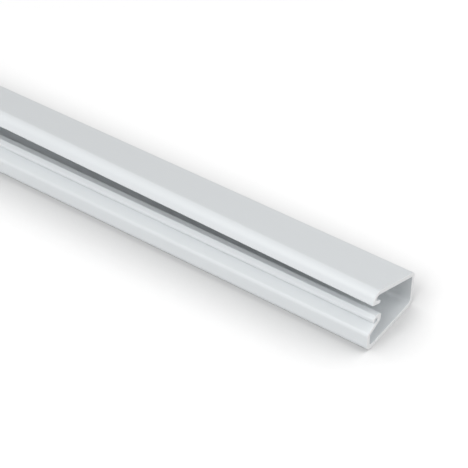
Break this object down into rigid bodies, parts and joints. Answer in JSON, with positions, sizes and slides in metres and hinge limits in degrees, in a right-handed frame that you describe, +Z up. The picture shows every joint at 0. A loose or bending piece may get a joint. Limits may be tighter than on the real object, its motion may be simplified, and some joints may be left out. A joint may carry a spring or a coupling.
{
  "type": "cord cover raceway",
  "caption": "White PVC cord cover raceway: a straight length of one-piece latching channel, its cover sprung open above a hooked latch lip, both ends cut square.",
  "frame": {"origin": "centre of the underside of the flat base, halfway along the run", "axes": "+X along the run to the cut end where the cover is drawn in, +Y across from the latch side to the hinge wall, +Z up from the base"},
  "size_m": [0.4, 0.0222, 0.0192],
  "materials": {
    "white_pvc": "satin"
  },
  "bodies": {
    "root": {"raceway_channel": "white_pvc"}
  },
  "joints": []
}
